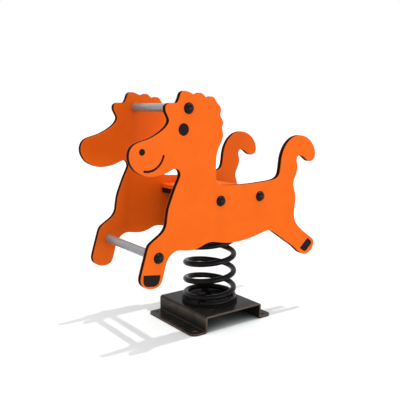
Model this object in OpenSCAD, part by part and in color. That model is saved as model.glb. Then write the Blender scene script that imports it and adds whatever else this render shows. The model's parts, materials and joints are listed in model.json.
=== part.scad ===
// Spring rider: two animal-shaped side panels with a seat, a handle bar and a foot bar between them,
// carried by a coil spring on a bent steel base.
// Millimetres. Origin on the ground at the spring's axis, +Z up, the animal looks along -X, its left is -Y.

/* [Base] */
// Length of the base over both flanges
base_l = 370; // [330:1:460]
// Width of the base, along the folds
base_w = 300; // [260:1:380]
// Height of the base's top
base_h = 60; // [50:1:90]
// Length of the raised top, outside its webs
base_top_l = 256; // [240:1:290]
// Thickness of the base sheet
base_t = 6; // [4:0.5:8]
// Inner radius of the folds
base_fold_r = 4; // [2:0.5:8]
// Radius of the flange corners
base_corner_r = 25; // [10:1:30]
// Diameter of the anchor holes
anchor_d = 14; // [10:0.5:18]
// Distance between anchor holes along the animal
anchor_l = 312; // [306:1:318]
// Distance from the middle of an anchor hole to the end of its flange
anchor_inset = 25; // [20:1:40]

/* [Spring] */
// Diameter of the round plate under the spring
foot_plate_d = 210; // [205:1:230]
// Thickness of the round plate under the spring
foot_plate_t = 10; // [6:1:14]
// Height of the spring between its two plates
spring_h = 385; // [340:1:440]
// Outer diameter of the coil
coil_d = 202; // [185:1:215]
// Diameter of the spring wire
wire_d = 21; // [17:0.5:22]
// Closed turns at each end
closed_turns = 0.98; // [0.94:0.01:1.1]
// Open turns between the closed ends
open_turns = 5.35; // [4:0.05:6]
// Gap between closed turns
closed_gap = 0.6; // [0.5:0.1:2]
// Thickness left at the tip of the wire, where its end is ground flat
tip_t = 11; // [6:0.5:17]
// Direction in which the lower end of the wire starts
coil_start = 211; // [0:1:359]

/* [Spring clamps] */
// Width of a clamp along the wire
clamp_w = 28; // [24:1:34]
// Radius from the spring's axis to a clamp's inner end
clamp_root_r = 34; // [30:1:38]
// Radius from the spring's axis to a clamp's bolt
clamp_bolt_r = 50; // [48:1:53]
// Thickness of a clamp's foot under its bolt
clamp_foot_t = 10; // [8:0.5:14]
// Thickness of a clamp's upright beside the wire
clamp_web_t = 10; // [8:0.5:12]
// Thickness of a clamp's toe over the wire
clamp_toe_t = 5; // [4:0.5:7]
// How far a toe reaches past the middle of the wire
clamp_toe_past = 2; // [0:0.5:5]

/* [Top plate and cross tubes] */
// Thickness of the spring's top plate
plate_t = 8; // [6:0.5:12]
// Radius of the top plate's corners
plate_corner_r = 10; // [4:1:20]
// Distance between the two cross tubes
carrier_pitch = 176; // [168:1:200]
// Width of a cross tube
carrier_l = 40; // [36:1:44]
// Height of a cross tube
carrier_h = 20; // [18:1:30]
// Wall of a cross tube
carrier_wall = 2.5; // [2:0.5:3]

/* [Panels] */
// Length of a panel, nose to hind hoof
panel_l = 812; // [760:1:900]
// Height of a panel, hoof to forelock
panel_h = 621; // [580:1:700]
// Reach of the nose ahead of the spring's axis
nose_reach = 437; // [420:1:450]
// Drop of the hooves below the cross tubes' middle
panel_drop = 256; // [240:1:272]
// Clear width between the two panels
panel_gap = 318; // [280:1:380]
// Thickness of a panel's black core
core_t = 15; // [10:0.5:20]
// Thickness of an orange face layer
skin_t = 2; // [1:0.5:3]

/* [Face and hooves] */
// Diameter of the eye
eye_d = 40; // [30:1:50]
// Diameter of the nostril
nostril_d = 21; // [14:1:26]
// Radius of the mouth's curve
mouth_r = 59; // [50:1:64]
// Width of the mouth's groove
mouth_w = 7.5; // [5:0.5:10]
// Width of the front hoof's dark patch
hoof_w = 63; // [48:1:66]
// Height of the front hoof's dark patch
front_hoof_h = 38; // [26:1:42]
// Width of the hind hoof's dark patch
hind_hoof_w = 53; // [42:1:58]
// Height of the hind hoof's dark patch
hind_hoof_h = 35; // [26:1:38]
// How far the foot of the hind hoof's patch leans to the rear
hind_hoof_lean = 8; // [0:1:12]

/* [Seat] */
// Length of the seat board
seat_l = 222; // [216:1:300]
// Thickness of the seat board
seat_t = 15; // [14:0.5:22]
// Radius of the seat's corners
seat_corner_r = 8; // [4:1:20]
// Gap between the seat's ends and the panels
seat_gap = 1; // [0.5:0.5:4]
// Distance between the seat screws across the animal
seat_screw_w = 160; // [152:1:164]
// Diameter of the seat screws
seat_screw_d = 8; // [6:1:10]
// Width of a seat screw's head across its flats
seat_screw_af = 13; // [12:0.5:16]
// Height of a seat screw's head
seat_screw_head_h = 5.3; // [4:0.1:7]
// Outer diameter of the seat's threaded inserts
insert_d = 12; // [11:0.5:15]
// Length of the seat's threaded inserts
insert_l = 12; // [10:0.5:13]

/* [Bars] */
// Outer diameter of the handle bar and the foot bar
bar_d = 30; // [25:0.5:36]
// Wall of the bars
bar_wall = 2.5; // [2:0.5:4]
// Length of the threaded plugs in bars and cross tubes
plug_l = 34; // [32:1:50]

/* [Fasteners] */
// Diameter of panel and clamp bolts
bolt_d = 10; // [8:1:12]
// Width of a bolt head or nut across its flats
bolt_af = 17; // [16:0.5:19]
// Height of a bolt head
bolt_head_h = 6.4; // [4:0.1:7]
// Height of a nut
nut_h = 8; // [6:0.5:10]
// Outer diameter of a washer
washer_d = 21; // [19:0.5:22]
// Thickness of a washer
washer_t = 2; // [1:0.5:3]
// Length of a panel bolt inside its plug
bolt_grip = 28; // [20:1:30]
// Length of a clamp bolt past its nut
bolt_tail = 3; // [1:0.5:6]
// Diameter of the domed bolt covers
cap_d = 37; // [36:0.5:44]
// Height of the domed bolt covers
cap_h = 15; // [14:0.5:18]
// Wall of the domed bolt covers
cap_wall = 1.8; // [1:0.1:2]
// Thickness of a cover's base under the bolt head
cap_base_t = 2; // [1.5:0.5:3]

/* [Hidden] */

// Fits and cuts
$fn = 48;
overrun = 1;
fit_gap = 0.1;
spring_gap = 0.3;
hole_gap = 0.5;
screw_tip_gap = 1;
fold_steps = 6;

// Outline of the animal from the forelock's foot, round by the mane, saddle, tail, legs and head.
// Shares of the panel's length from the nose and of its height from the hooves.
outline_steps = 3;
outline_shares = [
  // forelock
  [0.215, 0.940], [0.226, 0.964], [0.234, 0.989], [0.250, 0.999], [0.269, 0.995],
  // mane, six waves
  [0.293, 0.983], [0.309, 0.984], [0.327, 0.990], [0.341, 0.981], [0.353, 0.968],
  [0.366, 0.968], [0.381, 0.972], [0.396, 0.963], [0.406, 0.944], [0.413, 0.934],
  [0.425, 0.919], [0.429, 0.900], [0.425, 0.878], [0.431, 0.861], [0.440, 0.841],
  [0.439, 0.825], [0.435, 0.810], [0.438, 0.790], [0.440, 0.766], [0.432, 0.732],
  // back of the neck
  [0.418, 0.702], [0.408, 0.667], [0.405, 0.611], [0.405, 0.554], [0.409, 0.522],
  // saddle
  [0.425, 0.502], [0.468, 0.494], [0.555, 0.489], [0.646, 0.491], [0.711, 0.496], [0.743, 0.505],
  // tail, up, over and down to its tip
  [0.761, 0.527], [0.768, 0.569], [0.774, 0.624], [0.790, 0.676], [0.815, 0.715],
  [0.848, 0.740], [0.891, 0.748], [0.933, 0.732], [0.965, 0.699], [0.984, 0.657],
  [0.986, 0.615], [0.973, 0.594], [0.950, 0.589], [0.930, 0.601], [0.909, 0.621],
  // inside of the tail and the rump
  [0.888, 0.630], [0.873, 0.622], [0.868, 0.602], [0.875, 0.560], [0.867, 0.519],
  [0.853, 0.482], [0.851, 0.451], [0.862, 0.407], [0.867, 0.364], [0.861, 0.313], [0.861, 0.261],
  // hind leg and hoof
  [0.876, 0.216], [0.908, 0.176], [0.952, 0.134], [0.986, 0.103], [0.996, 0.078],
  [0.985, 0.039], [0.962, 0.017], [0.932, 0.014], [0.898, 0.035], [0.859, 0.077],
  [0.804, 0.125], [0.749, 0.174], [0.721, 0.196],
  // belly
  [0.693, 0.202], [0.652, 0.192], [0.593, 0.176], [0.525, 0.168], [0.459, 0.173], [0.390, 0.191],
  [0.356, 0.189], [0.326, 0.175], [0.295, 0.166], [0.258, 0.168], [0.221, 0.176], [0.196, 0.171],
  // front leg and hoof
  [0.175, 0.151], [0.160, 0.123], [0.149, 0.077], [0.140, 0.036], [0.127, 0.009],
  [0.102, -0.002], [0.072, 0.003], [0.049, 0.023], [0.041, 0.052], [0.048, 0.094],
  [0.064, 0.161], [0.076, 0.210], [0.088, 0.233], [0.116, 0.257], [0.143, 0.281],
  // chest and throat
  [0.160, 0.314], [0.166, 0.359], [0.173, 0.404], [0.188, 0.454], [0.205, 0.505],
  [0.222, 0.549], [0.229, 0.574], [0.223, 0.597], [0.207, 0.607], [0.189, 0.603],
  // jaw and nose
  [0.162, 0.589], [0.127, 0.579], [0.089, 0.577], [0.056, 0.588], [0.028, 0.609],
  [0.010, 0.637], [0.001, 0.668], [0.002, 0.701], [0.015, 0.730], [0.039, 0.747],
  // bridge of the nose and brow
  [0.091, 0.766], [0.136, 0.794], [0.165, 0.822], [0.178, 0.850], [0.172, 0.875],
  [0.163, 0.898], [0.163, 0.923], [0.177, 0.937], [0.198, 0.939]
];

// Face marks, hooves and bar bolts, as shares of the same sizes
eye_share = [0.245, 0.805];
nostril_share = [0.056, 0.701];
mouth_share = [0.080, 0.698];
mouth_from = -102;
mouth_to = -13;
mouth_steps = 16;
mouth_end_steps = 8;
front_hoof_share = [0.0925, 0.071];
front_hoof_turn = -8;
hind_hoof_share = [0.9285, 0.085];
hind_hoof_turn = 41;
hoof_steps = 20;
hoof_round_share = 0.62;
hind_hoof_round_share = 0.42;
handle_share = [0.2685, 0.912];
foot_share = [0.123, 0.155];

// Anchor holes across the animal
anchor_w = base_w - 2 * anchor_inset;

// Heights
foot_z = base_h + foot_plate_t;
plate_z = foot_z + spring_h;
carrier_z = plate_z + plate_t + carrier_h / 2;
seat_z = carrier_z + carrier_h / 2;
panel_z = carrier_z - panel_drop;

// Panel layers, measured from the middle plane
inner_y = panel_gap / 2;
core_y = inner_y + skin_t;
outer_y = core_y + core_t;
face_y = outer_y + skin_t;
panel_t = face_y - inner_y;

function on_panel(share) = [share.x * panel_l - nose_reach, panel_z + share.y * panel_h];

handle_at = on_panel(handle_share);
foot_at = on_panel(foot_share);
carrier_at = [for (end = [-1, 1]) [end * carrier_pitch / 2, carrier_z]];
bolts_at = concat([handle_at, foot_at], carrier_at);

// Coil of the spring: closed, lead-in, open, lead-out, closed
rings_per_turn = 30;
wire_sides = 8;
lead_turns = 0.15;
coil_r = (coil_d - wire_d) / 2;
coil_turns = 2 * closed_turns + open_turns;
tip_lift = spring_gap + tip_t - wire_d / 2;
coil_rise = spring_h - 2 * tip_lift;
closed_pitch = wire_d + closed_gap;
open_pitch = closed_pitch
  + (coil_rise / 2 - closed_pitch * coil_turns / 2) / (coil_turns / 2 - closed_turns - lead_turns / 2);
ring_count = ceil(coil_turns * rings_per_turn);

function lead_in(turn) = let (past = turn - closed_turns)
  past <= 0 ? 0 : past < lead_turns ? past * past / (2 * lead_turns) : past - lead_turns / 2;
function half_rise(turn) = closed_pitch * turn + (open_pitch - closed_pitch) * lead_in(turn);
function rise(turn) = turn <= coil_turns / 2 ? half_rise(turn) : coil_rise - half_rise(coil_turns - turn);
function wire_z(turn) = foot_z + tip_lift + rise(turn);
function wire_at(turn) = let (a = coil_start + 360 * turn) [coil_r * cos(a), coil_r * sin(a), wire_z(turn)];

// Least gap of the coil to itself, between points over half a turn apart
wire_points = [for (i = [0:ring_count]) wire_at(coil_turns * i / ring_count)];
self_gap = min([
  for (i = [0:ring_count]) for (j = [i + floor(rings_per_turn * 0.6):ring_count])
    norm(wire_points[i] - wire_points[j])
]) - wire_d;
echo(str("least gap of the coil to itself: ", self_gap));

// What the lower bolts pass through, and the places of the clamps in turns from the end of the wire
foot_wall = foot_plate_t + base_t;
foot_plate_sides = 96;
clamp_turns = [0.28, 0.6, 1];
clamp_face_r = sqrt(pow(coil_d / 2 - wire_d - spring_gap - hole_gap, 2) - pow(clamp_w / 2, 2));
clamp_toe_r = coil_r + clamp_toe_past;
clamp_half_turn = clamp_w / (4 * PI * coil_r);

function clamp_toe_z(turn) = wire_z(turn + clamp_half_turn) - foot_z + wire_d / 2 + spring_gap;

// Bolt covers: part of a sphere over the bolt head
dome_r = (pow(cap_d / 2, 2) + pow(cap_h, 2)) / (2 * cap_h);
dome_z = cap_h - dome_r;
cap_base_r = sqrt(pow(dome_r - cap_wall, 2) - pow(cap_base_t - dome_z, 2)) - fit_gap;

// Curves

// Smooth closed curve through the points
function closed_curve(points, steps) = let (n = len(points)) [
  for (i = [0:n - 1], s = [0:steps - 1]) let (
    t = s / steps,
    a = points[(i + n - 1) % n],
    b = points[i],
    c = points[(i + 1) % n],
    d = points[(i + 2) % n]
  ) (2 * b + (c - a) * t + (2 * a - 5 * b + 4 * c - d) * t * t + (3 * b - a - 3 * c + d) * t * t * t) / 2
];

function arc(centre, r, from, to, steps) = [
  for (i = [0:steps]) let (a = from + (to - from) * i / steps) centre + r * [cos(a), sin(a)]
];

function reversed(points) = [for (i = [len(points) - 1:-1:0]) points[i]];

function mirrored(points) = [for (p = points) [-p.x, p.y]];

module rounded_board(l, w, r) {
  square([l - 2 * r, w], center = true);
  square([l, w - 2 * r], center = true);
  for (x = [-1, 1], y = [-1, 1]) translate([x * (l / 2 - r), y * (w / 2 - r)]) circle(r = r);
}

// Base

module hat_section() {
  web_x = base_top_l / 2;
  fold_out_r = base_fold_r + base_t;
  foot = [web_x + base_fold_r, fold_out_r];
  shoulder = [web_x - fold_out_r, base_h - fold_out_r];
  outside = concat(
    [[base_l / 2, 0], [base_l / 2, base_t]],
    arc(foot, base_fold_r, 270, 180, fold_steps),
    arc(shoulder, fold_out_r, 0, 90, fold_steps)
  );
  inside = concat(
    arc(foot, fold_out_r, 270, 180, fold_steps),
    arc(shoulder, base_fold_r, 0, 90, fold_steps)
  );
  polygon(concat(outside, reversed(mirrored(outside)), mirrored(inside), reversed(inside)));
}

module base_channel() {
  color("dimgray") difference() {
    intersection() {
      across(base_w) hat_section();
      linear_extrude(base_h) rounded_board(base_l, base_w, base_corner_r);
    }
    for (x = [-1, 1], y = [-1, 1])
      translate([x * anchor_l / 2, y * anchor_w / 2, -overrun])
        cylinder(d = anchor_d, h = base_t + 2 * overrun);
    at_lower_clamps() translate([clamp_bolt_r, 0, -foot_wall - overrun])
      cylinder(d = bolt_d + hole_gap, h = base_t + 2 * overrun);
  }
}

// Round plate between the base and the spring
module foot_plate() {
  color([0.13, 0.13, 0.13]) difference() {
    translate([0, 0, base_h]) cylinder(d = foot_plate_d, h = foot_plate_t, $fn = foot_plate_sides);
    at_lower_clamps() translate([clamp_bolt_r, 0, -foot_plate_t - overrun])
      cylinder(d = bolt_d + hole_gap, h = foot_plate_t + 2 * overrun);
  }
}

// Centred extrusion across the animal of an outline drawn in length and height
module across(w) {
  translate([0, w / 2, 0]) rotate([90, 0, 0]) linear_extrude(w) children();
}

// Spring and its clamps

module coil_spring() {
  function ground(p) = [p.x, p.y, max(foot_z + spring_gap, min(plate_z - spring_gap, p.z))];
  function ring(i) = let (
    turn = coil_turns * i / ring_count,
    a = coil_start + 360 * turn,
    ahead = wire_at(turn + 1 / rings_per_turn / 2) - wire_at(turn - 1 / rings_per_turn / 2),
    out = [cos(a), sin(a), 0],
    up = cross(out, ahead / norm(ahead))
  ) [for (k = [0:wire_sides - 1]) let (b = 360 * k / wire_sides)
    ground(wire_at(turn) + wire_d / 2 * (cos(b) * out + sin(b) * up))];
  crown = wire_sides / 4;
  keel = 3 * crown;
  last = ring_count * wire_sides;
  color([0.13, 0.13, 0.13]) polyhedron(
    points = [for (i = [0:ring_count]) each ring(i)],
    faces = concat(
      [for (i = [0:ring_count - 1], k = [0:wire_sides - 1]) let (
        a = i * wire_sides + k, b = i * wire_sides + (k + 1) % wire_sides
      ) each [[a, b, b + wire_sides], [a, b + wire_sides, a + wire_sides]]],
      [for (k = [1:wire_sides - 2]) [crown, (crown + k + 1) % wire_sides, (crown + k) % wire_sides]],
      [for (k = [1:wire_sides - 2])
        [keel, (keel + k) % wire_sides, (keel + k + 1) % wire_sides] + [last, last, last]]
    )
  );
}

// Children stand on the foot plate at each lower clamp, with the clamp's length along X
module at_lower_clamps() {
  for ($turn = clamp_turns) translate([0, 0, foot_z]) rotate(coil_start + 360 * $turn) children();
}

// Children hang from the top plate at each upper clamp
module at_upper_clamps() {
  for ($turn = clamp_turns)
    translate([0, 0, plate_z]) rotate(coil_start + 360 * (coil_turns - $turn)) mirror([0, 0, 1]) children();
}

// Claw: a bolted foot, an upright inside the coil and a toe over the wire
module clamp() {
  toe_z = clamp_toe_z($turn);
  web_r = clamp_face_r - clamp_web_t;
  difference() {
    across(clamp_w) polygon([
      [clamp_root_r, 0], [clamp_face_r, 0], [clamp_face_r, toe_z], [clamp_toe_r, toe_z],
      [clamp_toe_r, toe_z + clamp_toe_t], [web_r, toe_z + clamp_toe_t], [web_r, clamp_foot_t],
      [clamp_root_r, clamp_foot_t]
    ]);
    translate([clamp_bolt_r, 0, -overrun]) cylinder(d = bolt_d + hole_gap, h = clamp_foot_t + 2 * overrun);
  }
}

module hex(af, h) {
  cylinder(d = af / cos(30), h = h, $fn = 6);
}

// Bolt through a clamp's foot and a wall of the given thickness
module clamp_bolt(wall) {
  shank = clamp_foot_t + wall + washer_t + nut_h + bolt_tail;
  translate([clamp_bolt_r, 0, clamp_foot_t]) {
    hex(bolt_af, bolt_head_h);
    translate([0, 0, -shank]) cylinder(d = bolt_d, h = shank);
  }
}

module clamp_washer(wall) {
  translate([clamp_bolt_r, 0, -wall - washer_t]) difference() {
    cylinder(d = washer_d, h = washer_t);
    translate([0, 0, -overrun]) cylinder(d = bolt_d + hole_gap, h = washer_t + 2 * overrun);
  }
}

module clamp_nut(wall) {
  translate([clamp_bolt_r, 0, -wall - washer_t - nut_h]) difference() {
    hex(bolt_af, nut_h);
    translate([0, 0, -overrun]) cylinder(d = bolt_d + 2 * fit_gap, h = nut_h + 2 * overrun);
  }
}

module lower_clamps() { color("dimgray") at_lower_clamps() clamp(); }
module lower_clamp_bolts() { color("silver") at_lower_clamps() clamp_bolt(foot_wall); }
module lower_clamp_washers() { color("silver") at_lower_clamps() clamp_washer(foot_wall); }
module lower_clamp_nuts() { color("silver") at_lower_clamps() clamp_nut(foot_wall); }

module upper_clamps() { color("dimgray") at_upper_clamps() clamp(); }
module upper_clamp_bolts() { color("silver") at_upper_clamps() clamp_bolt(plate_t); }
module upper_clamp_washers() { color("silver") at_upper_clamps() clamp_washer(plate_t); }
module upper_clamp_nuts() { color("silver") at_upper_clamps() clamp_nut(plate_t); }

// Top plate, cross tubes and seat

module spring_plate() {
  color("dimgray") difference() {
    translate([0, 0, plate_z]) linear_extrude(plate_t)
      rounded_board(carrier_pitch + carrier_l, coil_d, plate_corner_r);
    at_upper_clamps() translate([clamp_bolt_r, 0, -plate_t - overrun])
      cylinder(d = bolt_d + hole_gap, h = plate_t + 2 * overrun);
    at_seat_screws() seat_screw_hole();
  }
}

// Children stand on the cross tubes at the seat screws
module at_seat_screws(ends = [-1, 1]) {
  for (end = ends, side = [-1, 1])
    translate([end * carrier_pitch / 2, side * seat_screw_w / 2, seat_z]) children();
}

module seat_screw_hole() {
  depth = carrier_h + plate_t;
  translate([0, 0, -depth - overrun]) cylinder(d = seat_screw_d + hole_gap, h = depth + 2 * overrun);
}

module cross_tube(end) {
  color([0.12, 0.12, 0.12]) difference() {
    translate([end * carrier_pitch / 2, 0, carrier_z]) difference() {
      cube([carrier_l, panel_gap, carrier_h], center = true);
      cube(
        [carrier_l - 2 * carrier_wall, panel_gap + 2 * overrun, carrier_h - 2 * carrier_wall],
        center = true
      );
    }
    at_seat_screws([end]) seat_screw_hole();
  }
}

module front_cross_tube() { cross_tube(-1); }
module rear_cross_tube() { cross_tube(1); }

// Children lie at an end of a piece between the panels, with Z pointing out through the panel
module at_end(side, at, y) {
  translate([at.x, side * y, at.y]) rotate([-90 * side, 0, 0]) children();
}

module threaded_bore() {
  translate([0, 0, -plug_l - overrun]) cylinder(d = bolt_d + 2 * fit_gap, h = plug_l + 2 * overrun);
}

module cross_tube_plugs() {
  inset = 2 * carrier_wall + 2 * fit_gap;
  color("silver") for (side = [-1, 1], at = carrier_at) at_end(side, at, inner_y) difference() {
    translate([0, 0, -plug_l / 2]) cube([carrier_l - inset, carrier_h - inset, plug_l], center = true);
    threaded_bore();
  }
}

module seat_board() {
  color([1, 0.42, 0.11]) difference() {
    translate([0, 0, seat_z]) linear_extrude(seat_t)
      rounded_board(seat_l, panel_gap - 2 * seat_gap, seat_corner_r);
    at_seat_screws() translate([0, 0, -overrun]) cylinder(d = insert_d + 2 * fit_gap, h = insert_l + overrun);
  }
}

module seat_inserts() {
  color("gold") at_seat_screws() difference() {
    cylinder(d = insert_d, h = insert_l);
    translate([0, 0, -overrun]) cylinder(d = seat_screw_d + 2 * fit_gap, h = insert_l + 2 * overrun);
  }
}

module seat_screws() {
  shank = plate_t + carrier_h + insert_l - screw_tip_gap;
  color("silver") at_seat_screws() translate([0, 0, -plate_t - carrier_h]) {
    cylinder(d = seat_screw_d, h = shank);
    translate([0, 0, -seat_screw_head_h]) hex(seat_screw_af, seat_screw_head_h);
  }
}

// Bars

module bar(at) {
  color([0.62, 0.6, 0.59]) at_end(1, at, inner_y) translate([0, 0, -panel_gap]) difference() {
    cylinder(d = bar_d, h = panel_gap);
    translate([0, 0, -overrun]) cylinder(d = bar_d - 2 * bar_wall, h = panel_gap + 2 * overrun);
  }
}

module bar_plugs(at) {
  color("silver") for (side = [-1, 1]) at_end(side, at, inner_y) difference() {
    translate([0, 0, -plug_l]) cylinder(d = bar_d - 2 * bar_wall - 2 * fit_gap, h = plug_l);
    threaded_bore();
  }
}

module handle_bar() { bar(handle_at); }
module handle_bar_plugs() { bar_plugs(handle_at); }
module foot_bar() { bar(foot_at); }
module foot_bar_plugs() { bar_plugs(foot_at); }

// Panels

// One layer of a panel from its inner distance to the middle plane, with its bolt holes
module panel_layer(side, y, t) {
  difference() {
    translate([0, side * (y + t / 2), 0]) across(t)
      polygon([for (p = closed_curve(outline_shares, outline_steps)) on_panel(p)]);
    for (at = bolts_at) at_end(side, at, y) translate([0, 0, -overrun])
      cylinder(d = bolt_d + hole_gap, h = t + 2 * overrun);
  }
}

module panel_core(side) {
  color([0.12, 0.1, 0.1]) panel_layer(side, core_y, core_t);
}

module inner_face(side) {
  color([0.95, 0.4, 0.1]) panel_layer(side, inner_y, skin_t);
}

// Dark hoof patch: straight on top, with a full round foot
module hoof(share, turn, w, h, round_share, lean = 0) {
  outline = [for (i = [0:hoof_steps])
    let (a = 180 * i / hoof_steps, c = cos(a), down = pow(abs(sin(a)), round_share))
    [lean * down - sign(c) * pow(abs(c), round_share) * w / 2, -down * h]];
  translate(on_panel(share)) rotate(turn) polygon(outline);
}

// Curved slot with round ends
module mouth() {
  centre = on_panel(mouth_share);
  end_turn = 180 / mouth_end_steps;
  function end(a, from) = arc(
    centre + mouth_r * [cos(a), sin(a)], mouth_w / 2,
    from + end_turn, from + 180 - end_turn, mouth_end_steps - 2
  );
  polygon(concat(
    arc(centre, mouth_r + mouth_w / 2, mouth_from, mouth_to, mouth_steps),
    end(mouth_to, mouth_to),
    arc(centre, mouth_r - mouth_w / 2, mouth_to, mouth_from, mouth_steps),
    end(mouth_from, mouth_from + 180)
  ));
}

module outer_face(side) {
  cut_t = skin_t + 2 * overrun;
  color([1, 0.42, 0.11]) difference() {
    panel_layer(side, outer_y, skin_t);
    at_end(side, on_panel(eye_share), outer_y - overrun) cylinder(d = eye_d, h = cut_t);
    at_end(side, on_panel(nostril_share), outer_y - overrun) cylinder(d = nostril_d, h = cut_t);
    translate([0, side * (outer_y + skin_t / 2), 0]) across(cut_t) {
      mouth();
      hoof(front_hoof_share, front_hoof_turn, hoof_w, front_hoof_h, hoof_round_share);
      hoof(hind_hoof_share, hind_hoof_turn, hind_hoof_w, hind_hoof_h, hind_hoof_round_share,
        hind_hoof_lean);
    }
  }
}

module left_panel_core() { panel_core(-1); }
module left_outer_face() { outer_face(-1); }
module left_inner_face() { inner_face(-1); }
module right_panel_core() { panel_core(1); }
module right_outer_face() { outer_face(1); }
module right_inner_face() { inner_face(1); }

// Panel bolts and their covers

module panel_bolts(side) {
  shank = bolt_grip + panel_t + cap_base_t;
  color("silver") for (at = bolts_at) at_end(side, at, face_y) translate([0, 0, cap_base_t]) {
    hex(bolt_af, bolt_head_h);
    translate([0, 0, -shank]) cylinder(d = bolt_d, h = shank);
  }
}

module cover_bases(side) {
  color([0.11, 0.12, 0.12]) for (at = bolts_at) at_end(side, at, face_y) difference() {
    cylinder(r = cap_base_r, h = cap_base_t);
    translate([0, 0, -overrun]) cylinder(d = bolt_d + hole_gap, h = cap_base_t + 2 * overrun);
  }
}

module bolt_covers(side) {
  color([0.11, 0.13, 0.13]) for (at = bolts_at) at_end(side, at, face_y) difference() {
    translate([0, 0, dome_z]) sphere(r = dome_r);
    translate([0, 0, dome_z]) sphere(r = dome_r - cap_wall);
    translate([0, 0, -cap_d]) cylinder(d = 2 * cap_d, h = cap_d);
  }
}

module left_panel_bolts() { panel_bolts(-1); }
module right_panel_bolts() { panel_bolts(1); }
module left_cover_bases() { cover_bases(-1); }
module right_cover_bases() { cover_bases(1); }
module left_bolt_covers() { bolt_covers(-1); }
module right_bolt_covers() { bolt_covers(1); }

base_channel();
foot_plate();
lower_clamps();
lower_clamp_bolts();
lower_clamp_washers();
lower_clamp_nuts();
coil_spring();
spring_plate();
upper_clamps();
upper_clamp_bolts();
upper_clamp_washers();
upper_clamp_nuts();
front_cross_tube();
rear_cross_tube();
cross_tube_plugs();
seat_board();
seat_inserts();
seat_screws();
handle_bar();
handle_bar_plugs();
foot_bar();
foot_bar_plugs();
left_panel_core();
left_outer_face();
left_inner_face();
right_panel_core();
right_outer_face();
right_inner_face();
left_panel_bolts();
right_panel_bolts();
left_cover_bases();
right_cover_bases();
left_bolt_covers();
right_bolt_covers();
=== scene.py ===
import json
import math
import bmesh
import bpy
from mathutils import Matrix, Vector


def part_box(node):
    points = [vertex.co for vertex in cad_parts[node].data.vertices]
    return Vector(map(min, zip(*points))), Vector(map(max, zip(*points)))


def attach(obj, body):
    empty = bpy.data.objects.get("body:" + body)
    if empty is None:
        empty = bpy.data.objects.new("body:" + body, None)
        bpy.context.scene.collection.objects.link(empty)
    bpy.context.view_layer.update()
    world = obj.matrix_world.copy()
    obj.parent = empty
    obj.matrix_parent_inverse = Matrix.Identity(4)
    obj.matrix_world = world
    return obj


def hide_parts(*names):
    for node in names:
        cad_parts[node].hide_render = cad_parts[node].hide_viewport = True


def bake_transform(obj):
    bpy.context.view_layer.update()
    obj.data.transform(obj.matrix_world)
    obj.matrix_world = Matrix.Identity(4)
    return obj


# Spring rider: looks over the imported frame, in metres. The animal looks along -X, its left is -Y.
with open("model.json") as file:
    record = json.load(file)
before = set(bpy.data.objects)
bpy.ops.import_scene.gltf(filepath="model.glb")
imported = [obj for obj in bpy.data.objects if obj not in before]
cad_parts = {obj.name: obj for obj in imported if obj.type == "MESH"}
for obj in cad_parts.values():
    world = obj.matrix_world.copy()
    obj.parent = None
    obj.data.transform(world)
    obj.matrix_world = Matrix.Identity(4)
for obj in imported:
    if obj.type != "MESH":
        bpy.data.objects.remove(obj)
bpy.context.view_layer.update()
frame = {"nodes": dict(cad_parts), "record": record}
nodes = frame["nodes"]
scene = bpy.context.scene
print("frame loaded,", len(nodes), "nodes")

# Small steps for node trees: a value is a number, a colour or another node's output


def give(tree, value, socket):
    if isinstance(value, bpy.types.NodeSocket):
        tree.links.new(value, socket)
    else:
        socket.default_value = value


def calc(tree, operation, first, second=0.0):
    step = tree.nodes.new("ShaderNodeMath")
    step.operation = operation
    give(tree, first, step.inputs[0])
    give(tree, second, step.inputs[1])
    return step.outputs[0]


def span(tree, value, low, high, toLow=0.0, toHigh=1.0):
    step = tree.nodes.new("ShaderNodeMapRange")
    for label, amount in (("Value", value), ("From Min", low), ("From Max", high),
                          ("To Min", toLow), ("To Max", toHigh)):
        give(tree, amount, step.inputs[label])
    return step.outputs["Result"]


def mixColour(tree, share, first, second):
    step = tree.nodes.new("ShaderNodeMix")
    step.data_type = "RGBA"
    give(tree, share, step.inputs[0])
    give(tree, first, step.inputs[6])
    give(tree, second, step.inputs[7])
    return step.outputs[2]


def noiseOf(tree, scale, detail=2.0, stretch=None):
    place = tree.nodes.new("ShaderNodeTexCoord").outputs["Object"]
    if stretch:
        mapping = tree.nodes.new("ShaderNodeMapping")
        mapping.inputs["Scale"].default_value = stretch
        tree.links.new(place, mapping.inputs["Vector"])
        place = mapping.outputs["Vector"]
    noise = tree.nodes.new("ShaderNodeTexNoise")
    tree.links.new(place, noise.inputs["Vector"])
    give(tree, scale, noise.inputs["Scale"])
    noise.inputs["Detail"].default_value = detail
    return noise.outputs["Fac"]


# Between these lie nearly all values of a noise
noiseLow, noiseHigh = 0.3, 0.7


def blendOf(tree, first, second, shares):
    first = calc(tree, "MULTIPLY", first, shares[0])
    second = calc(tree, "MULTIPLY", second, shares[1])
    return calc(tree, "ADD", first, second)


def startFinish(name, specular, metallic=0.0):
    finish = bpy.data.materials.new(name)
    finish.use_nodes = True
    tree = finish.node_tree
    surface = tree.nodes["Principled BSDF"].inputs
    surface["Specular IOR Level"].default_value = specular
    surface["Metallic"].default_value = metallic
    return finish, tree, surface


# Camera, light and floor

cameraSetup = {
    "at": (-1.2986, -1.7195, 0.8055),
    "tilt": 80.46,   # degrees
    "turn": -36.09,
    "lens": 52.95,   # mm
    "sensor": 36.0,
}


def placeCamera(setup):
    data = bpy.data.cameras.new("photoCamera")
    data.lens = setup["lens"]
    data.sensor_width = setup["sensor"]
    camera = bpy.data.objects.new("photoCamera", data)
    camera.location = setup["at"]
    camera.rotation_euler = (math.radians(setup["tilt"]), 0.0, math.radians(setup["turn"]))
    scene.collection.objects.link(camera)
    scene.camera = camera


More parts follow.
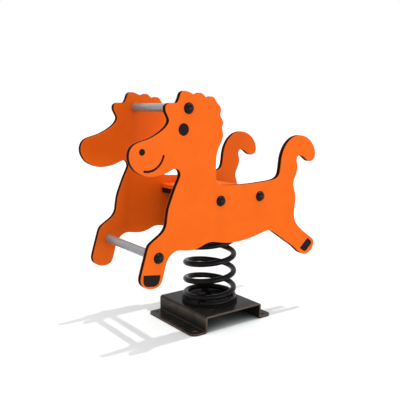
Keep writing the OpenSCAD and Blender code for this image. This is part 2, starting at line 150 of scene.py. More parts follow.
lightSetup = {
    "sunAlong": (-0.12, 0.106, -1.0),
    "sunStrength": 1.25,
    "sunAngle": 1.0,     # degrees
    "skyLow": 0.80,      # what lights the object, from level to straight up
    "skyHigh": 0.95,
    "skyShown": 1.0,     # what the camera and the gloss see
    "fillAt": (0.5, -3.6, 0.45),
    "fillTowards": (0.0, 0.0, 0.5),
    "fillSize": (2.4, 0.8),
    "fillPower": 42.0,
}


def addLamp(name, kind, along, at=(0.0, 0.0, 3.0)):
    data = bpy.data.lights.new(name, kind)
    lamp = bpy.data.objects.new(name, data)
    lamp.location = at
    lamp.rotation_euler = Vector(along).to_track_quat("-Z", "Y").to_euler()
    scene.collection.objects.link(lamp)
    return data


def lightStudio(setup):
    sun = addLamp("highLamp", "SUN", setup["sunAlong"])
    sun.energy = setup["sunStrength"]
    sun.angle = math.radians(setup["sunAngle"])
    fillAlong = Vector(setup["fillTowards"]) - Vector(setup["fillAt"])
    fill = addLamp("softFill", "AREA", fillAlong, setup["fillAt"])
    fill.energy = setup["fillPower"]
    fill.shape = "RECTANGLE"
    fill.size, fill.size_y = setup["fillSize"]
    world = bpy.data.worlds.new("paleRoom")
    world.use_nodes = True
    scene.world = world
    tree = world.node_tree
    room = tree.nodes["Background"].inputs
    room["Color"].default_value = (1.0, 1.0, 1.0, 1.0)
    axes = tree.nodes.new("ShaderNodeSeparateXYZ")
    tree.links.new(tree.nodes.new("ShaderNodeTexCoord").outputs["Object"], axes.inputs[0])
    light = span(tree, axes.outputs["Z"], 0.0, 1.0, setup["skyLow"], setup["skyHigh"])
    tree.links.new(span(tree, raysSeen(tree), 0.0, 1.0, light, setup["skyShown"]), room["Strength"])


# 1 for what the camera, a gloss or a clear piece sees, 0 for light on its way to the object
def raysSeen(tree):
    rays = tree.nodes.new("ShaderNodeLightPath").outputs
    shiny = calc(tree, "MAXIMUM", rays["Is Glossy Ray"], rays["Is Transmission Ray"])
    return calc(tree, "MAXIMUM", rays["Is Camera Ray"], shiny)


floorSetup = {
    "half": 30.0,
    "drop": 0.0004,
    "pale": (0.77, 0.80, 0.80, 1.0),     # as seen
    "dull": (0.48, 0.48, 0.48, 1.0),     # as it throws light back
    "lift": (0.14, 0.14, 0.14, 1.0),
    "paintedShadeReach": 0.13,        # how near a piece has to be to paint shade on the floor under it
    "paintedShadeFrom": 0.15,    # how open the floor is where the painted shade is darkest, and where it is clear
    "paintedShadeTo": 0.66,
    "paintedShadeTone": 0.11,
}


def layFloor(setup):
    mesh = bmesh.new()
    bmesh.ops.create_grid(mesh, x_segments=1, y_segments=1, size=setup["half"],
                          matrix=Matrix.Translation((0.0, 0.0, -setup["drop"])))
    data = bpy.data.meshes.new("paleFloor")
    mesh.to_mesh(data)
    mesh.free()
    paint, tree, surface = startFinish("paleFloor", 0.0)
    surface["Roughness"].default_value = 1.0
    black = (0.0, 0.0, 0.0, 1.0)
    seen = raysSeen(tree)
    # Painted shade: near pieces, and most under the base, the floor's seen colour darkens and its lift fades
    paintedShadeOcclusion = tree.nodes.new("ShaderNodeAmbientOcclusion")
    paintedShadeOcclusion.inputs["Distance"].default_value = setup["paintedShadeReach"]
    clear = span(tree, paintedShadeOcclusion.outputs["AO"], setup["paintedShadeFrom"], setup["paintedShadeTo"])
    pale = mixColour(tree, span(tree, clear, 0.0, 1.0, setup["paintedShadeTone"], 1.0), black, setup["pale"])
    give(tree, mixColour(tree, seen, setup["dull"], pale), surface["Base Color"])
    lift = mixColour(tree, calc(tree, "MULTIPLY", seen, clear), black, setup["lift"])
    give(tree, lift, surface["Emission Color"])
    surface["Emission Strength"].default_value = 1.0
    data.materials.append(paint)
    floor = bpy.data.objects.new("paleFloor", data)
    scene.collection.objects.link(floor)


scene.view_settings.view_transform = "Standard"
placeCamera(cameraSetup)
lightStudio(lightSetup)
layFloor(floorSetup)
print("camera, light and floor placed")

# Shared effects, as node groups


def startGroup(name, inputs, outputs):
    tree = bpy.data.node_groups.new(name, "ShaderNodeTree")
    for label, value in inputs.items():
        socket = tree.interface.new_socket(label, in_out="INPUT", socket_type="NodeSocketFloat")
        socket.default_value = value
    for label in outputs:
        tree.interface.new_socket(label, in_out="OUTPUT", socket_type="NodeSocketFloat")
    return tree, tree.nodes.new("NodeGroupInput").outputs, tree.nodes.new("NodeGroupOutput").inputs


def place(tree, group, **values):
    node = tree.nodes.new("ShaderNodeGroup")
    node.node_tree = group
    for label, value in values.items():
        node.inputs[label].default_value = value
    return node.outputs


def makeEdgeWear():
    setup = {
        "samples": 6,
        "flat": 0.995, "turned": 0.90,     # cosine between a face and its rounded edge
        "sparse": 0.75, "soft": 0.3, "detail": 3.0,
    }
    tree, given, put = startGroup("edgeWear", {"Radius": 0.002, "Patches": 90.0, "Cover": 0.5}, ["Mask"])
    rounded = tree.nodes.new("ShaderNodeBevel")
    rounded.samples = setup["samples"]
    give(tree, given["Radius"], rounded.inputs["Radius"])
    facing = tree.nodes.new("ShaderNodeVectorMath")
    facing.operation = "DOT_PRODUCT"
    tree.links.new(rounded.outputs["Normal"], facing.inputs[0])
    tree.links.new(tree.nodes.new("ShaderNodeNewGeometry").outputs["Normal"], facing.inputs[1])
    edge = span(tree, facing.outputs["Value"], setup["flat"], setup["turned"])
    low = calc(tree, "SUBTRACT", setup["sparse"], given["Cover"])
    high = calc(tree, "ADD", low, setup["soft"])
    patch = span(tree, noiseOf(tree, given["Patches"], setup["detail"]), low, high)
    give(tree, calc(tree, "MULTIPLY", edge, patch), put["Mask"])
    return tree


def makeFineGrain():
    setup = {"finer": 3.3, "shares": (0.7, 0.3), "detail": 1.0, "wider": 110.0, "toneDetail": 3.0}
    tree, given, put = startGroup("fineGrain", {"Scale": 900.0}, ["Height", "Tone"])
    coarse = noiseOf(tree, given["Scale"], setup["detail"])
    fine = noiseOf(tree, calc(tree, "MULTIPLY", given["Scale"], setup["finer"]), setup["detail"])
    give(tree, blendOf(tree, coarse, fine, setup["shares"]), put["Height"])
    tone = noiseOf(tree, calc(tree, "DIVIDE", given["Scale"], setup["wider"]), setup["toneDetail"])
    give(tree, span(tree, tone, noiseLow, noiseHigh), put["Tone"])
    return tree


def makeSettledDust():
    setup = {"steep": 0.35, "level": 1.0, "patchLow": 0.35, "patchHigh": 0.75, "detail": 4.0}
    tree, given, put = startGroup("settledDust", {"Amount": 0.3, "Patches": 40.0}, ["Mask"])
    axes = tree.nodes.new("ShaderNodeSeparateXYZ")
    tree.links.new(tree.nodes.new("ShaderNodeTexCoord").outputs["Normal"], axes.inputs[0])
    upward = span(tree, axes.outputs["Z"], setup["steep"], setup["level"])
    patch = noiseOf(tree, given["Patches"], setup["detail"])
    patch = span(tree, patch, setup["patchLow"], setup["patchHigh"])
    give(tree, calc(tree, "MULTIPLY", calc(tree, "MULTIPLY", upward, patch), given["Amount"]), put["Mask"])
    return tree


def makeRubMarks():
    setup = {
        # how the noise is stretched, and where it is cut off
        "level": (60.0, 60.0, 700.0), "levelFrom": 0.66, "levelTo": 0.74,
        "steep": (650.0, 500.0, 55.0), "steepFrom": 0.67, "steepTo": 0.75,
        "where": 9.0, "whereFrom": 0.45, "whereTo": 0.65,
    }
    tree, given, put = startGroup("rubMarks", {"Scale": 1.0, "Amount": 0.3}, ["Mask"])
    level = noiseOf(tree, given["Scale"], stretch=setup["level"])
    level = span(tree, level, setup["levelFrom"], setup["levelTo"])
    steep = noiseOf(tree, given["Scale"], stretch=setup["steep"])
    steep = span(tree, steep, setup["steepFrom"], setup["steepTo"])
    where = noiseOf(tree, calc(tree, "MULTIPLY", given["Scale"], setup["where"]))
    where = span(tree, where, setup["whereFrom"], setup["whereTo"])
    lines = calc(tree, "MULTIPLY", calc(tree, "MAXIMUM", level, steep), where)
    give(tree, calc(tree, "MULTIPLY", lines, given["Amount"]), put["Mask"])
    return tree


# Painted highlight: 1 high on upright sides that look outward, fading over the fold to the top and down to a
# given height
def makePaintedFoldSheen():
    setup = {
        "underFrom": -0.5, "underTo": -0.05, "topFrom": 0.95, "topTo": 0.10,     # how far a face looks up
        "fade": 0.035, "inward": -0.02,
        "patches": 22.0, "detail": 3.0, "patchLow": 0.25, "patchHigh": 0.6, "patchLeast": 0.45,
    }
    tree, given, put = startGroup("foldRub", {"Above": 0.0, "Amount": 0.5}, ["Mask"])
    coords = tree.nodes.new("ShaderNodeTexCoord").outputs
    facing = tree.nodes.new("ShaderNodeSeparateXYZ")
    tree.links.new(coords["Normal"], facing.inputs[0])
    spot = tree.nodes.new("ShaderNodeSeparateXYZ")
    tree.links.new(coords["Object"], spot.inputs[0])
    upward = facing.outputs["Z"]
    under = span(tree, upward, setup["underFrom"], setup["underTo"])
    turn = calc(tree, "MULTIPLY", under, span(tree, upward, setup["topFrom"], setup["topTo"]))
    high = span(tree, spot.outputs["Z"], given["Above"], calc(tree, "ADD", given["Above"], setup["fade"]))
    patch = noiseOf(tree, setup["patches"], setup["detail"])
    patch = span(tree, patch, setup["patchLow"], setup["patchHigh"], setup["patchLeast"], 1.0)
    outward = calc(tree, "MULTIPLY", spot.outputs["X"], facing.outputs["X"])
    outward = calc(tree, "GREATER_THAN", outward, setup["inward"])
    where = calc(tree, "MULTIPLY", calc(tree, "MULTIPLY", turn, high), outward)
    give(tree, calc(tree, "MULTIPLY", where, calc(tree, "MULTIPLY", patch, given["Amount"])), put["Mask"])
    return tree


edgeWear = makeEdgeWear()
fineGrain = makeFineGrain()
settledDust = makeSettledDust()
rubMarks = makeRubMarks()
foldRub = makePaintedFoldSheen()
print("shared effects made")

# Finishes


def bumpFrom(tree, surface, height, depth, strength):
    bump = tree.nodes.new("ShaderNodeBump")
    bump.inputs["Distance"].default_value = depth
    bump.inputs["Strength"].default_value = strength
    give(tree, height, bump.inputs["Height"])
    tree.links.new(bump.outputs["Normal"], surface["Normal"])


# Roughness that follows the grain
def grainRough(tree, setup, height):
    return span(tree, height, noiseLow, noiseHigh, setup["smooth"], setup["rough"])


# Roughness with a share of a mask added to it
def rougher(tree, rough, mask, share):
    return calc(tree, "ADD", rough, calc(tree, "MULTIPLY", mask, share))


def makeOrangeBoard():
    setup = {
        "bright": (0.885, 0.140, 0.0060, 1.0),
        "deep": (0.845, 0.128, 0.0050, 1.0),
        "milled": (0.940, 0.210, 0.030, 1.0),    # paler where the cutter rounded it
        "rubbed": (0.940, 0.240, 0.060, 1.0),
        "specular": 0.08, "smooth": 0.40, "rough": 0.52,
        "wear": 0.45, "scuffed": 0.5, "depth": 0.00012, "bump": 0.35,
    }
    finish, tree, surface = startFinish("orangeBoard", setup["specular"])
    grain = place(tree, fineGrain, Scale=1300.0)
    edge = place(tree, edgeWear, Radius=0.0012, Patches=60.0, Cover=0.45)["Mask"]
    marks = place(tree, rubMarks, Scale=0.8, Amount=0.16)["Mask"]
    colour = mixColour(tree, grain["Tone"], setup["deep"], setup["bright"])
    colour = mixColour(tree, calc(tree, "MULTIPLY", edge, setup["wear"]), colour, setup["milled"])
    colour = mixColour(tree, marks, colour, setup["rubbed"])
    give(tree, colour, surface["Base Color"])
    rough = grainRough(tree, setup, grain["Height"])
    give(tree, rougher(tree, rough, marks, setup["scuffed"]), surface["Roughness"])
    bumpFrom(tree, surface, grain["Height"], setup["depth"], setup["bump"])
    return finish


def makeBlackCore():
    setup = {
        "dark": (0.0060, 0.0040, 0.0036, 1.0),
        "milled": (0.0110, 0.0075, 0.0066, 1.0),
        "pocket": (0.0200, 0.0150, 0.0145, 1.0),    # the flat floor of a milled pocket
        "worn": (0.030, 0.021, 0.017, 1.0),
        "cutter": (35.0, 1700.0, 35.0),      # lines left round the edge by the router
        "cutLow": 0.35, "cutHigh": 0.7, "slant": 0.7, "level": 0.9,
        "specular": 0.015, "smooth": 0.46, "rough": 0.62,
        "wear": 0.4, "shares": (0.7, 0.3), "depth": 0.00025, "bump": 0.4,
    }
    finish, tree, surface = startFinish("blackCore", setup["specular"])
    cutter = noiseOf(tree, 1.0, stretch=setup["cutter"])
    grain = place(tree, fineGrain, Scale=1600.0)
    edge = place(tree, edgeWear, Radius=0.0015, Patches=80.0, Cover=0.4)["Mask"]
    facing = tree.nodes.new("ShaderNodeSeparateXYZ")
    tree.links.new(tree.nodes.new("ShaderNodeTexCoord").outputs["Normal"], facing.inputs[0])
    flat = span(tree, calc(tree, "ABSOLUTE", facing.outputs["Y"]), setup["slant"], setup["level"])
    lines = span(tree, cutter, setup["cutLow"], setup["cutHigh"])
    colour = mixColour(tree, lines, setup["dark"], setup["milled"])
    colour = mixColour(tree, flat, colour, setup["pocket"])
    colour = mixColour(tree, calc(tree, "MULTIPLY", edge, setup["wear"]), colour, setup["worn"])
    give(tree, colour, surface["Base Color"])
    give(tree, grainRough(tree, setup, grain["Height"]), surface["Roughness"])
    height = blendOf(tree, cutter, grain["Height"], setup["shares"])
    bumpFrom(tree, surface, height, setup["depth"], setup["bump"])
    return finish


# What all steels and the brass share
steelSetup = {
    "dustPatches": 35.0, "stainDetail": 5.0, "stainLow": 0.38, "stainHigh": 0.72, "foldRubbed": 0.8,
    "dustRough": 0.25, "edgeRough": 0.12, "bump": 0.4,
}


def makeSteel(name, ownSetup):
    setup = steelSetup | ownSetup
    finish, tree, surface = startFinish(name, setup["specular"], setup.get("metallic", 0.0))
    grain = place(tree, fineGrain, Scale=setup["grain"])
    edge = place(tree, edgeWear, Radius=setup["edge"], Patches=setup["patches"], Cover=setup["cover"])["Mask"]
    dust = place(tree, settledDust, Amount=setup["dust"], Patches=setup["dustPatches"])["Mask"]
    stain = noiseOf(tree, setup["stain"], setup["stainDetail"])
    stain = span(tree, stain, setup["stainLow"], setup["stainHigh"])
    colour = mixColour(tree, grain["Tone"], setup["dark"], setup["light"])
    colour = mixColour(tree, calc(tree, "MULTIPLY", stain, setup["stained"]), colour, setup["brown"])
    colour = mixColour(tree, calc(tree, "MULTIPLY", edge, setup["wear"]), colour, setup["worn"])
    colour = mixColour(tree, dust, colour, setup["dusty"])
    # Painted highlight: outward upright sides and their folds are made lighter, as where light falls on them
    if "fold" in setup:
        rubbed = place(tree, foldRub, Above=setup["fold"], Amount=setup["foldRubbed"])["Mask"]
        colour = mixColour(tree, rubbed, colour, setup["rubbed"])
    give(tree, colour, surface["Base Color"])
    rough = rougher(tree, grainRough(tree, setup, grain["Height"]), dust, setup["dustRough"])
    give(tree, rougher(tree, rough, edge, setup["edgeRough"]), surface["Roughness"])
    bumpFrom(tree, surface, grain["Height"], setup["depth"], setup["bump"])
    return finish


coatedSteelSetup = {
    "dark": (0.0088, 0.0086, 0.0084, 1.0), "light": (0.0196, 0.0189, 0.0182, 1.0),
    # worn is both edge wear and a painted highlight along the edges and folds
    "brown": (0.037, 0.028, 0.022, 1.0), "worn": (0.260, 0.175, 0.128, 1.0),
    "dusty": (0.12, 0.11, 0.10, 1.0),
    # rubbed is the colour of the painted highlight on outward sides and folds
    "rubbed": (0.122, 0.099, 0.081, 1.0), "fold": 0.016,
    "specular": 0.05, "grain": 700.0, "edge": 0.004, "patches": 45.0, "cover": 0.75, "wear": 0.9,
    "stain": 16.0, "stained": 0.5, "dust": 0.06, "smooth": 0.15, "rough": 0.27, "depth": 0.00012,
}
springCoatSetup = {
    "dark": (0.0042, 0.0039, 0.0037, 1.0), "light": (0.0074, 0.0068, 0.0064, 1.0),
    "brown": (0.013, 0.010, 0.008, 1.0), "worn": (0.040, 0.032, 0.027, 1.0),
    "dusty": (0.08, 0.07, 0.065, 1.0),
    "specular": 0.10, "grain": 900.0, "edge": 0.002, "patches": 60.0, "cover": 0.4, "wear": 0.4,
    "stain": 20.0, "stained": 0.3, "dust": 0.08, "smooth": 0.20, "rough": 0.32, "depth": 0.0001,
}
blackTubeSetup = {
    "dark": (0.0062, 0.0056, 0.0052, 1.0), "light": (0.0105, 0.0092, 0.0084, 1.0),
    "brown": (0.018, 0.013, 0.010, 1.0), "worn": (0.050, 0.040, 0.034, 1.0),
    "dusty": (0.11, 0.10, 0.09, 1.0),
    "specular": 0.12, "grain": 1100.0, "edge": 0.002, "patches": 70.0, "cover": 0.4, "wear": 0.4,
    "stain": 18.0, "stained": 0.3, "dust": 0.1, "smooth": 0.30, "rough": 0.44, "depth": 0.0001,
}
blackIronSetup = {
    "dark": (0.0035, 0.0033, 0.0032, 1.0), "light": (0.0068, 0.0064, 0.0062, 1.0),
    "brown": (0.010, 0.008, 0.007, 1.0), "worn": (0.025, 0.022, 0.020, 1.0),
    "dusty": (0.05, 0.045, 0.04, 1.0),
    "specular": 0.04, "grain": 1500.0, "edge": 0.001, "patches": 150.0, "cover": 0.5, "wear": 0.4,
    "stain": 60.0, "stained": 0.35, "dust": 0.05, "smooth": 0.45, "rough": 0.60, "depth": 0.00008,
}
zincSetup = {
    "dark": (0.42, 0.42, 0.43, 1.0), "light": (0.60, 0.60, 0.60, 1.0),
    "brown": (0.36, 0.32, 0.27, 1.0), "worn": (0.70, 0.69, 0.67, 1.0),
    "dusty": (0.45, 0.42, 0.38, 1.0),
    "specular": 0.5, "metallic": 0.85, "grain": 1500.0,
    "edge": 0.001, "patches": 150.0, "cover": 0.5, "wear": 0.5,
    "stain": 60.0, "stained": 0.35, "dust": 0.2, "smooth": 0.32, "rough": 0.5, "depth": 0.0001,
}
brassSetup = {
    "dark": (0.48, 0.30, 0.085, 1.0), "light": (0.66, 0.44, 0.15, 1.0),
    "brown": (0.30, 0.18, 0.06, 1.0), "worn": (0.74, 0.54, 0.24, 1.0),
    "dusty": (0.45, 0.40, 0.33, 1.0),
    "specular": 0.5, "metallic": 0.9, "grain": 1500.0,
    "edge": 0.001, "patches": 150.0, "cover": 0.5, "wear": 0.5,
    "stain": 80.0, "stained": 0.3, "dust": 0.1, "smooth": 0.28, "rough": 0.42, "depth": 0.0001,
}


def makeBarSteel():
    setup = {
        "grey": (0.262, 0.275, 0.281, 1.0),
        "pale": (0.320, 0.334, 0.340, 1.0),
        "rubbed": (0.47, 0.475, 0.475, 1.0),
        "drawn": (900.0, 14.0, 900.0),      # lines along the bar
        "specular": 0.5, "metallic": 0.25, "smooth": 0.20, "rough": 0.28,
        "cloudy": 0.06, "depth": 0.00010, "bump": 0.3,
    }
    finish, tree, surface = startFinish("barSteel", setup["specular"], setup["metallic"])
    brushed = noiseOf(tree, 1.0, stretch=setup["drawn"])
    grain = place(tree, fineGrain, Scale=1000.0)
    marks = place(tree, rubMarks, Scale=1.3, Amount=0.35)["Mask"]
    colour = mixColour(tree, span(tree, brushed, noiseLow, noiseHigh), setup["grey"], setup["pale"])
    colour = mixColour(tree, marks, colour, setup["rubbed"])
    give(tree, colour, surface["Base Color"])
    rough = grainRough(tree, setup, brushed)
    give(tree, rougher(tree, rough, grain["Tone"], setup["cloudy"]), surface["Roughness"])
    bumpFrom(tree, surface, brushed, setup["depth"], setup["bump"])
    return finish


def makeCoverPlastic():
    setup = {
        "dark": (0.0040, 0.0030, 0.0030, 1.0),
        "light": (0.0062, 0.0048, 0.0048, 1.0),
        "rubbed": (0.020, 0.018, 0.018, 1.0),
        "specular": 0.14, "smooth": 0.14, "rough": 0.22, "scuffed": 0.4, "depth": 0.00005, "bump": 0.25,
    }
    finish, tree, surface = startFinish("coverPlastic", setup["specular"])
    grain = place(tree, fineGrain, Scale=2200.0)
    marks = place(tree, rubMarks, Scale=1.8, Amount=0.3)["Mask"]
    dust = place(tree, settledDust, Amount=0.06, Patches=120.0)["Mask"]
    colour = mixColour(tree, grain["Tone"], setup["dark"], setup["light"])
    colour = mixColour(tree, calc(tree, "ADD", marks, dust), colour, setup["rubbed"])
    give(tree, colour, surface["Base Color"])
    rough = grainRough(tree, setup, grain["Height"])
    give(tree, rougher(tree, rough, marks, setup["scuffed"]), surface["Roughness"])
    bumpFrom(tree, surface, grain["Height"], setup["depth"], setup["bump"])
    return finish


finishes = {
    "orange_board": makeOrangeBoard(),
    "black_core": makeBlackCore(),
    "coated_steel": makeSteel("coatedSteel", coatedSteelSetup),
    "spring_coat": makeSteel("springCoat", springCoatSetup),
    "black_tube": makeSteel("blackTube", blackTubeSetup),
    "bar_steel": makeBarSteel(),
    "zinc": makeSteel("zincPlate", zincSetup),
    "black_iron": makeSteel("blackIron", blackIronSetup),
    "brass_insert": makeSteel("brassInsert", brassSetup),
    "cover_plastic": makeCoverPlastic(),
}
print("finishes made:", len(finishes))

slotOf = {row["node"]: row["material_slot"] for row in frame["record"]["subparts"]}

# Steps that every piece takes

meshSetup = {
    "weld": 1e-6,       # points nearer than this are one
    "touch": 1e-5,      # points nearer than this to a face lie on it
    "flat": 0.4,        # degrees: faces that turn less than this become one
}


def copyOf(nodeName):
    mesh = bmesh.new()
    mesh.from_mesh(nodes[nodeName].data)
    bmesh.ops.remove_doubles(mesh, verts=mesh.verts, dist=meshSetup["weld"])
    bmesh.ops.dissolve_limit(mesh, angle_limit=math.radians(meshSetup["flat"]),
                             verts=mesh.verts, edges=mesh.edges)
    return mesh


def meets(value, *levels):
    return min(abs(value - level) for level in levels) < meshSetup["touch"]


def roundEdges(mesh, reach, steps, chosen=None, sharper=40.0):
    edges = [edge for edge in mesh.edges
             if len(edge.link_faces) == 2 and edge.calc_face_angle() > math.radians(sharper)
             and (chosen is None or chosen(edge))]
    bmesh.ops.bevel(mesh, geom=edges, offset=reach, offset_type="OFFSET", segments=steps, profile=0.5,
                    affect="EDGES", clamp_overlap=True, material=-1)


def turned(mesh, profile, centre, axis, steps, closed=True):
    out = axis.orthogonal().normalized()
    points = [mesh.verts.new(centre + along * axis + radius * out) for radius, along in profile]
    edges = [mesh.edges.new(pair) for pair in zip(points, points[1:] + points[:1])][:None if closed else -1]
    bmesh.ops.spin(mesh, geom=points + edges, cent=centre, axis=axis, angle=2.0 * math.pi, steps=steps,
                   use_merge=True, use_duplicate=False)


def closeUp(mesh):
    bmesh.ops.remove_doubles(mesh, verts=mesh.verts, dist=meshSetup["weld"])
    bmesh.ops.recalc_face_normals(mesh, faces=mesh.faces)


def finishPiece(mesh, name, nodeName, smooth=38.0):
    data = bpy.data.meshes.new(name)
    mesh.to_mesh(data)
    mesh.free()
    data.shade_smooth()
    data.set_sharp_from_angle(angle=math.radians(smooth))
    data.materials.append(finishes[slotOf[nodeName]])
    piece = bpy.data.objects.new(name, data)
    scene.collection.objects.link(piece)
    even = piece.modifiers.new("evenNormals", "WEIGHTED_NORMAL")
    even.keep_sharp = True
    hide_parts(nodeName)
    return piece


# Panels: black core between two orange faces

boardSetup = {"edge": 0.0011, "steps": 3}


def makePanels(setup):
    for side in ("left", "right"):
        for layer in ("outer", "inner"):
            nodeName = side + "_" + layer + "_face"
            low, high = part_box(nodeName)
            reach = [abs(low.y), abs(high.y)]
            shown = max(reach) if layer == "outer" else min(reach)
            mesh = copyOf(nodeName)
            roundEdges(mesh, setup["edge"], setup["steps"],
                       lambda edge: all(meets(abs(vert.co.y), shown) for vert in edge.verts))
            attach(finishPiece(mesh, side + layer.title() + "Board", nodeName), "rider")
        nodeName = side + "_panel_core"
        mesh = copyOf(nodeName)
        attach(finishPiece(mesh, side + "PanelCore", nodeName), "rider")


makePanels(boardSetup)
print("panels made")

# Seat and the steel under it

seatSetup = {"edge": 0.0035, "steps": 4}
tubeSetup = {"edge": 0.0022, "steps": 4, "longEdge": 0.01}
plateSetup = {"edge": 0.0010, "steps": 2}


def makeSeat(setup):
    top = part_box("seat_board")[1].z
    mesh = copyOf("seat_board")
    roundEdges(mesh, setup["edge"], setup["steps"],
               lambda edge: all(meets(vert.co.z, top) for vert in edge.verts))
    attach(finishPiece(mesh, "seatBoard", "seat_board"), "rider")


# Only the long outer corners of a tube are rounded
def makeCrossTubes(setup):
    for name, nodeName in (("frontCrossTube", "front_cross_tube"), ("rearCrossTube", "rear_cross_tube")):
        low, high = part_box(nodeName)

        def isLongCorner(edge):
            ends = [vert.co for vert in edge.verts]
            outer = all(meets(end.x, low.x, high.x) and meets(end.z, low.z, high.z) for end in ends)
            return outer and abs(ends[0].y - ends[1].y) > setup["longEdge"]

        mesh = copyOf(nodeName)
        roundEdges(mesh, setup["edge"], setup["steps"], isLongCorner)
        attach(finishPiece(mesh, name, nodeName), "rider")


def makeTopPlate(setup):
    mesh = copyOf("spring_plate")
    roundEdges(mesh, setup["edge"], setup["steps"])
    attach(finishPiece(mesh, "springPlate", "spring_plate"), "rider")


makeSeat(seatSetup)
makeCrossTubes(tubeSetup)
makeTopPlate(plateSetup)
print("seat, cross tubes and top plate made")

# Handle bar and foot bar

barSetup = {"wall": 0.0025, "edge": 0.0006, "steps": 72}


def makeBars(setup):
    for name, nodeName in (("handleBar", "handle_bar"), ("footBar", "foot_bar")):
        low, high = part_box(nodeName)
        centre = (low + high) / 2.0
        radius, half = (high.z - low.z) / 2.0, (high.y - low.y) / 2.0
        inside, cut = radius - setup["wall"], setup["edge"]
        profile = [(radius, half - cut), (radius - cut, half), (inside, half),
                   (inside, -half), (radius - cut, -half), (radius, cut - half)]
        mesh = bmesh.new()
        turned(mesh, profile, centre, Vector((0.0, 1.0, 0.0)), setup["steps"])
        closeUp(mesh)
        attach(finishPiece(mesh, name, nodeName), "rider")


makeBars(barSetup)
print("bars made")

# Domed covers over the panel bolts

coverSetup = {
    "radius": 0.0185, "wall": 0.0018, "arcSteps": 14, "steps": 56,
    "lip": 0.0012, "lipCut": 0.0002, "lipRise": 0.0003, "lipLean": 0.0001,
    "step": 0.0006, "stepShare": 0.4, "neck": 0.0001,
}


def makeCovers(setup):
    places = []
    for nodeName in ("handle_bar", "foot_bar", "front_cross_tube", "rear_cross_tube"):
        low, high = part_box(nodeName)
        places.append((low + high) / 2.0)
    for side, way in (("left", -1.0), ("right", 1.0)):
        nodeName = side + "_bolt_covers"
        low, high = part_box(nodeName)
        rise = high.y - low.y
        foot = high.y if way < 0 else low.y
        mesh = bmesh.new()
        for spot in places:
            turned(mesh, coverProfile(setup, rise), Vector((spot.x, foot, spot.z)),
                   Vector((0.0, way, 0.0)), setup["steps"], closed=False)
        closeUp(mesh)
        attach(finishPiece(mesh, side + "BoltCovers", nodeName), "rider")


def coverProfile(setup, rise):
    half = setup["radius"]
    ball = (half * half + rise * rise) / (2.0 * rise)   # radius of the dome
    centre = rise - ball

    def arc(radius, fromHeight, steps):
        first = math.asin((fromHeight - centre) / radius)
        return [(radius * math.cos(a), centre + radius * math.sin(a))
                for a in (first + (math.pi / 2.0 - first) * i / steps for i in range(steps + 1))]

    outer = arc(ball, setup["lip"] + setup["step"], setup["arcSteps"])
    inner = arc(ball - setup["wall"], 0.0, setup["arcSteps"])
    rim = [(half - setup["lipCut"], 0.0), (half, setup["lipRise"]), (half - setup["lipLean"], setup["lip"]),
           (outer[0][0] + setup["neck"], setup["lip"] + setup["step"] * setup["stepShare"])]
    outer[-1] = (0.0, rise)
    inner[-1] = (0.0, centre + ball - setup["wall"])
    return inner[::-1] + rim + outer


makeCovers(coverSetup)
print("bolt covers made")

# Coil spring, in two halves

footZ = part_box("foot_plate")[1].z
springSetup = {
    "foot": footZ, "height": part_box("spring_plate")[0].z - footZ,
    "coil": 0.202, "wire": 0.021, "seatGap": 0.0003, "tip": 0.011,
    "closedTurns": 0.98, "openTurns": 5.35, "closedGap": 0.0006, "leadTurns": 0.15, "startAngle": 211.0,
    "sides": 24, "stepsPerTurn": 48, "endRound": 0.0055, "endSteps": 5,
}


# Height of the wire's middle above the foot at its tip, where it is ground flat
def tipLift(setup):
    return setup["seatGap"] + setup["tip"] - setup["wire"] / 2.0


def riseOf(setup, turn):
    turns = 2.0 * setup["closedTurns"] + setup["openTurns"]
    whole = setup["height"] - 2.0 * tipLift(setup)
    if turn > turns / 2.0:
        return whole - riseOf(setup, turns - turn)
    slow = setup["wire"] + setup["closedGap"]
    lead = setup["leadTurns"]
    fast = slow + (whole / 2.0 - slow * turns / 2.0) / (turns / 2.0 - setup["closedTurns"] - lead / 2.0)
    past = turn - setup["closedTurns"]
    parted = 0.0 if past <= 0 else past * past / (2.0 * lead) if past < lead else past - lead / 2.0
    return slow * turn + (fast - slow) * parted


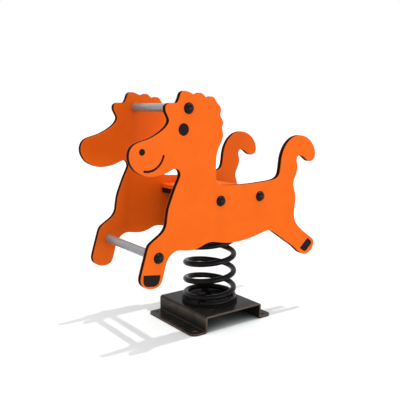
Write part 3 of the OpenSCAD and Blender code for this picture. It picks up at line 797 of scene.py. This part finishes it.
def windHalf(setup, first, last, tipFirst):
    steps = math.ceil((last - first) * setup["stepsPerTurn"])
    stride = (last - first) / steps
    height = setup["foot"] + tipLift(setup) + riseOf(setup, first)
    start = (Matrix.Rotation(math.radians(setup["startAngle"] + 360.0 * first), 4, "Z")
             @ Matrix.Translation(((setup["coil"] - setup["wire"]) / 2.0, 0.0, height))
             @ Matrix.Rotation(math.pi / 2.0, 4, "X"))
    mesh = bmesh.new()
    bmesh.ops.create_circle(mesh, segments=setup["sides"], radius=setup["wire"] / 2.0, matrix=start)
    firstRing = list(mesh.edges)
    lastRing = firstRing
    for i in range(steps):
        at = first + stride * i
        grown = bmesh.ops.spin(mesh, geom=lastRing, cent=(0.0, 0.0, 0.0), axis=(0.0, 0.0, 1.0),
                               dvec=(0.0, 0.0, riseOf(setup, at + stride) - riseOf(setup, at)),
                               angle=2.0 * math.pi * stride, steps=1, use_duplicate=False)["geom_last"]
        lastRing = [item for item in grown if isinstance(item, bmesh.types.BMEdge)]
    for ring in (firstRing, lastRing):
        bmesh.ops.contextual_create(mesh, geom=ring)
    bmesh.ops.recalc_face_normals(mesh, faces=mesh.faces)
    bmesh.ops.bevel(mesh, geom=firstRing if tipFirst else lastRing, offset=setup["endRound"],
                    offset_type="OFFSET", segments=setup["endSteps"], profile=0.5, affect="EDGES",
                    clamp_overlap=True, material=-1)
    # both ends of the spring are ground flat
    lowest = setup["foot"] + setup["seatGap"]
    highest = setup["foot"] + setup["height"] - setup["seatGap"]
    for vert in mesh.verts:
        vert.co.z = min(max(vert.co.z, lowest), highest)
    return mesh


def makeSpring(setup):
    turns = 2.0 * setup["closedTurns"] + setup["openTurns"]
    bendFrom = setup["foot"] + tipLift(setup) + riseOf(setup, setup["closedTurns"]) + setup["wire"] / 2.0
    lower = finishPiece(windHalf(setup, 0.0, turns / 2.0, True), "springLowerHalf", "coil_spring")
    upper = finishPiece(windHalf(setup, turns / 2.0, turns, False), "springUpperHalf", "coil_spring")
    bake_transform(lower)
    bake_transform(upper)


makeSpring(springSetup)
print("spring wound")

# Base, clamps and fasteners

# piece, body, rounding of its edges, steps
ironworkSetup = {
    "base_channel": ("baseChannel", "base", 0.0012, 3),
    "foot_plate": ("footPlate", "base", 0.0015, 3),
    "lower_clamps": ("lowerClamps", "base", 0.0012, 2),
    "lower_clamp_bolts": ("lowerClampBolts", "base", 0.0006, 2),
    "lower_clamp_washers": ("lowerClampWashers", "base", 0.0003, 2),
    "lower_clamp_nuts": ("lowerClampNuts", "base", 0.0006, 2),
    "upper_clamps": ("upperClamps", "rider", 0.0012, 2),
    "upper_clamp_bolts": ("upperClampBolts", "rider", 0.0006, 2),
    "upper_clamp_washers": ("upperClampWashers", "rider", 0.0003, 2),
    "upper_clamp_nuts": ("upperClampNuts", "rider", 0.0006, 2),
    "seat_screws": ("seatScrews", "rider", 0.0005, 2),
}


def makeIronwork(setup):
    for nodeName, (name, body, edge, steps) in setup.items():
        mesh = copyOf(nodeName)
        roundEdges(mesh, edge, steps)
        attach(finishPiece(mesh, name, nodeName), body)


makeIronwork(ironworkSetup)
print("base, clamps and fasteners made")

# Every node takes its slot's finish: plugs, inserts, bolts and cover bases stay as they are
for nodeName, node in nodes.items():
    node.data.materials.clear()
    node.data.materials.append(finishes[slotOf[nodeName]])
print("finishes given to", len(nodes), "nodes")
